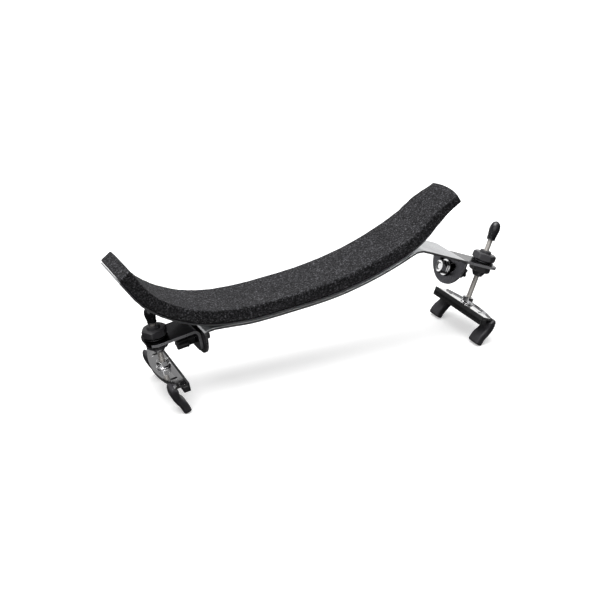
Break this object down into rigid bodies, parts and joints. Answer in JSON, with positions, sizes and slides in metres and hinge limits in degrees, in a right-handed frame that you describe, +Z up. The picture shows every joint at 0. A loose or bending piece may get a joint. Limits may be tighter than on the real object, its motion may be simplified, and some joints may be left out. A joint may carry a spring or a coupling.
{
  "type": "violin shoulder rest",
  "caption": "Violin shoulder rest: a curved aluminium bar under a foam pad, with a tilting arm, a threaded leg and a rubber-clawed fork at each end.",
  "frame": {"origin": "centre of the footprint at the level of the four claw tips", "axes": "+X along the rest towards the higher, free-standing end; +Y across it towards the back; +Z up"},
  "size_m": [0.2676, 0.0618, 0.1025],
  "materials": {
    "foam": "open-cell foam",
    "aluminium": "satin",
    "steel": "bright",
    "black_nickel": "gloss",
    "chrome": "polished",
    "black_plastic": "satin",
    "rubber": "matt"
  },
  "bodies": {
    "pad": {"foam_pad": "foam", "carrier_strip": "aluminium", "base_bar": "aluminium", "bar_rivet_left": "steel", "bar_rivet_right": "steel"},
    "arm_left": {"arm_bracket_left": "black_nickel", "tilt_bolt_left": "chrome", "tilt_washer_left": "chrome", "nut_washer_left": "black_nickel"},
    "knob_left": {"tilt_knob_left": "black_plastic"},
    "nuts_left": {"height_nut_left": "black_plastic", "nut_insert_left": "steel", "lower_nut_left": "black_plastic"},
    "rod_left": {"leg_rod_left": "steel", "rod_cap_left": "rubber", "fork_nut_left": "chrome"},
    "fork_left": {"fork_plate_left": "chrome", "fork_bumper_left": "rubber", "claw_front_left": "rubber", "claw_back_left": "rubber"},
    "arm_right": {"arm_bracket_right": "black_nickel", "tilt_bolt_right": "chrome", "tilt_washer_right": "chrome", "nut_washer_right": "black_nickel"},
    "knob_right": {"tilt_knob_right": "black_plastic"},
    "nuts_right": {"height_nut_right": "black_plastic", "nut_insert_right": "steel", "lower_nut_right": "black_plastic"},
    "rod_right": {"leg_rod_right": "steel", "rod_cap_right": "rubber", "fork_nut_right": "chrome"},
    "fork_right": {"fork_plate_right": "chrome", "fork_bumper_right": "rubber", "claw_front_right": "rubber", "claw_back_right": "rubber"}
  },
  "joints": [
    {"name": "arm_tilt_left", "type": "hinge", "parent": "pad", "child": "arm_left", "pos_m": [-0.0846, -0.00003, 0.04552], "axis": [-0.9854, 0, -0.1702], "range_deg": [-20, 20]},
    {"name": "knob_turn_left", "type": "hinge", "parent": "arm_left", "child": "knob_left", "pos_m": [-0.08273, -0.00003, 0.03468], "axis": [-0.9854, 0, -0.1702], "continuous": true},
    {"name": "nut_turn_left", "type": "hinge", "parent": "arm_left", "child": "nuts_left", "pos_m": [-0.1088, -0.00003, 0.03992], "axis": [-0.1702, 0, 0.9854], "range_deg": [-181, 901]},
    {"name": "leg_height_left", "type": "slide", "parent": "arm_left", "child": "rod_left", "axis": [-0.1702, 0, 0.9854], "range_m": [-0.0015, 0.0003]},
    {"name": "fork_swivel_left", "type": "hinge", "parent": "rod_left", "child": "fork_left", "pos_m": [-0.10522, -0.00003, 0.01918], "axis": [-0.1702, 0, 0.9854], "range_deg": [-25, 25]},
    {"name": "arm_tilt_right", "type": "hinge", "parent": "pad", "child": "arm_right", "pos_m": [0.099, -0.00003, 0.05632], "axis": [0.9245, 0, -0.3811], "range_deg": [-35, 35]},
    {"name": "knob_turn_right", "type": "hinge", "parent": "arm_right", "child": "knob_right", "pos_m": [0.09481, -0.00003, 0.04615], "axis": [0.9245, 0, -0.3811], "continuous": true},
    {"name": "nut_turn_right", "type": "hinge", "parent": "arm_right", "child": "nuts_right", "pos_m": [0.1214, -0.00003, 0.04558], "axis": [0.3811, 0, 0.9245], "range_deg": [-6301, 4321]},
    {"name": "leg_height_right", "type": "slide", "parent": "arm_right", "child": "rod_right", "axis": [0.3811, 0, 0.9245], "range_m": [-0.0072, 0.0105]},
    {"name": "fork_swivel_right", "type": "hinge", "parent": "rod_right", "child": "fork_right", "pos_m": [0.10992, -0.00003, 0.01775], "axis": [0.3811, 0, 0.9245], "range_deg": [-30, 30]}
  ],
  "couplings": [
    {"joint": "nut_turn_left", "follows": "leg_height_left", "rad_per_m": -10472},
    {"joint": "nut_turn_right", "follows": "leg_height_right", "rad_per_m": -10472}
  ]
}
